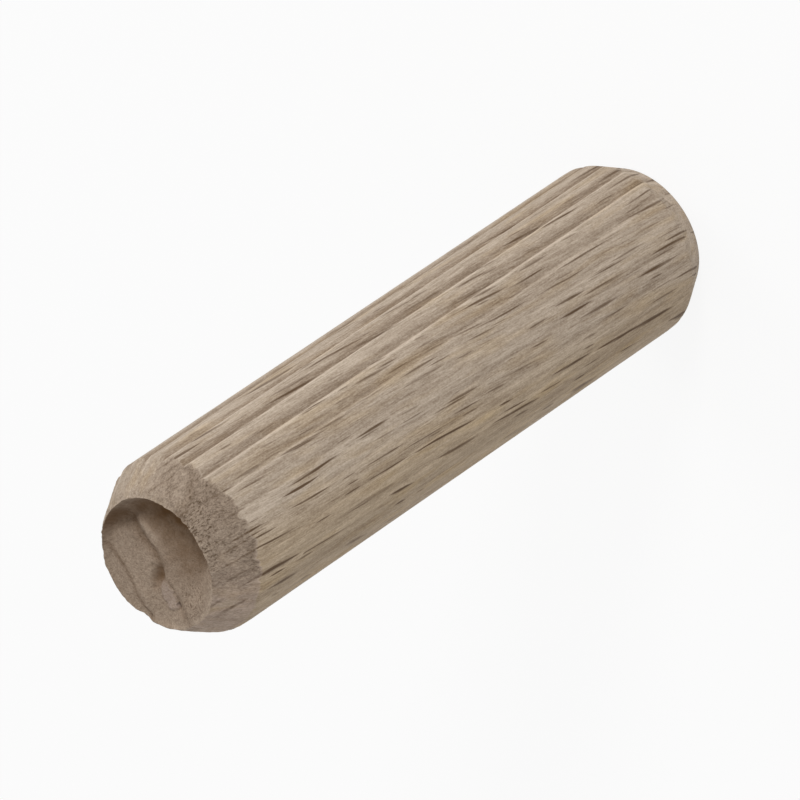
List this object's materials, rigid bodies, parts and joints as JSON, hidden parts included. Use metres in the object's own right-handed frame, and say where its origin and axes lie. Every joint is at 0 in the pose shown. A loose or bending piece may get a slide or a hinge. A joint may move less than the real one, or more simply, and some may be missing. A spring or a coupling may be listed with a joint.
{
  "type": "fluted wooden dowel pin",
  "caption": "Round wooden dowel pin with fine glue flutes along it, a chamfer at each end, and one end torn to a shallow hollow.",
  "frame": {"origin": "middle of the plain end face, on which the pin stands", "axes": "+Z along the pin, towards the torn end; -Y towards the side that the picture shows"},
  "size_m": [0.01, 0.01, 0.04],
  "materials": {
    "beech": "bare, unsanded"
  },
  "bodies": {
    "root": {"dowel_pin": "beech"}
  },
  "joints": []
}
